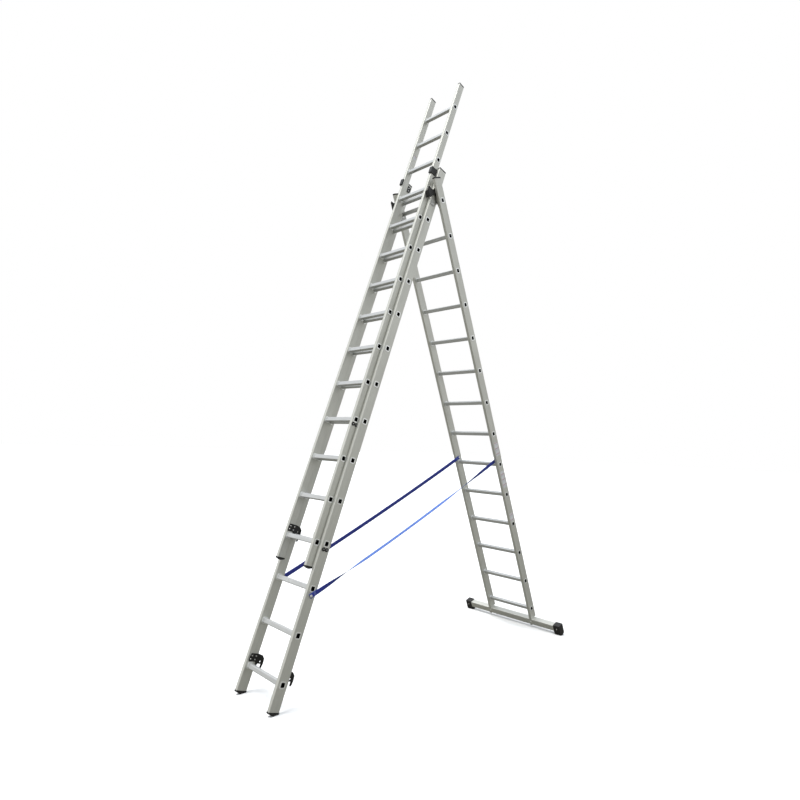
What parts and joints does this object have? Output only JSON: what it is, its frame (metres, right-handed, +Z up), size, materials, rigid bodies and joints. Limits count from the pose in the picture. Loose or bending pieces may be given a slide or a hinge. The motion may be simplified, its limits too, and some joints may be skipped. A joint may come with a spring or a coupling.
{
  "type": "extension ladder",
  "caption": "Aluminium combination ladder standing as an A-frame on a stabiliser bar, its upper section extended above the top hinge on hooks, with spreader straps each side.",
  "frame": {"origin": "on the ground, at the centre of the open ladder's footprint box", "axes": "+X across the ladder, +Y from the climbing sections towards the rear section, +Z up"},
  "size_m": [1.086, 2.6694, 4.6815],
  "materials": {
    "rail_aluminium": "satin drawn extrusion",
    "rung_aluminium": "satin, ribbed tread",
    "bar_aluminium": "satin, ribbed front",
    "plate_steel": "zinc plated, matt",
    "zinc_steel": "zinc plated, satin",
    "rivet_steel": "satin",
    "hook_paint": "black, semi-matt",
    "cap_plastic": "black, moulded",
    "foot_rubber": "black, ribbed",
    "stop_rubber": "black",
    "guide_plate": "dark grey, moulded",
    "guide_plastic": "black, moulded",
    "washer_plastic": "black",
    "strap_webbing": "navy woven webbing",
    "label_film": "pale printed film"
  },
  "bodies": {
    "middle_section": {"hinge_pin_left": "plate_steel", "hinge_pin_right": "plate_steel", "hinge_washers": "washer_plastic", "middle_foot_left": "foot_rubber", "middle_foot_right": "foot_rubber", "middle_guide_left": "guide_plate", "middle_guide_right": "guide_plate", "middle_guide_rivets": "rivet_steel", "middle_hinge_plate_left": "plate_steel", "middle_hinge_plate_right": "plate_steel", "middle_hinge_rivets": "rivet_steel", "middle_hook_left": "hook_paint", "middle_hook_right": "hook_paint", "middle_hook_rivets": "rivet_steel", "middle_rail_left": "rail_aluminium", "middle_rail_right": "rail_aluminium", "middle_rungs": "rung_aluminium", "middle_stop_left": "stop_rubber", "middle_stop_right": "stop_rubber", "middle_stop_rivets": "rivet_steel", "middle_strap_bolts": "zinc_steel", "middle_strap_spacers": "washer_plastic", "middle_top_cap_left": "cap_plastic", "middle_top_cap_right": "cap_plastic", "strap_left": "strap_webbing", "strap_right": "strap_webbing"},
    "upper_section": {"upper_foot_left": "foot_rubber", "upper_foot_right": "foot_rubber", "upper_hook_left": "hook_paint", "upper_hook_right": "hook_paint", "upper_hook_rivets": "rivet_steel", "upper_label": "label_film", "upper_rail_left": "rail_aluminium", "upper_rail_right": "rail_aluminium", "upper_rungs": "rung_aluminium", "upper_stop_left": "stop_rubber", "upper_stop_right": "stop_rubber", "upper_stop_rivets": "rivet_steel", "upper_top_cap_left": "cap_plastic", "upper_top_cap_right": "cap_plastic"},
    "rear_section": {"rear_guide_left": "guide_plastic", "rear_guide_right": "guide_plastic", "rear_guide_rivets": "rivet_steel", "rear_hinge_plate_left": "plate_steel", "rear_hinge_plate_right": "plate_steel", "rear_hinge_rivets": "rivet_steel", "rear_labels": "label_film", "rear_rail_left": "rail_aluminium", "rear_rail_right": "rail_aluminium", "rear_rungs": "rung_aluminium", "rear_strap_bolts": "zinc_steel", "rear_strap_spacers": "washer_plastic", "rear_top_cap_left": "cap_plastic", "rear_top_cap_right": "cap_plastic", "stabiliser_bar": "bar_aluminium", "stabiliser_bolts": "zinc_steel", "stabiliser_foot_left": "foot_rubber", "stabiliser_foot_right": "foot_rubber", "stabiliser_foot_screws": "zinc_steel"}
  },
  "joints": [
    {"name": "rear_fold", "type": "hinge", "parent": "middle_section", "child": "rear_section", "pos_m": [0, -0.13448, 3.54161], "axis": [-1, 0, 0], "range_deg": [0, 39.7], "deforming": ["strap_left", "strap_right"]},
    {"name": "upper_slide", "type": "slide", "parent": "middle_section", "child": "upper_section", "axis": [0, 0.3057, 0.9521], "range_m": [-0.84, 1.68]}
  ]
}
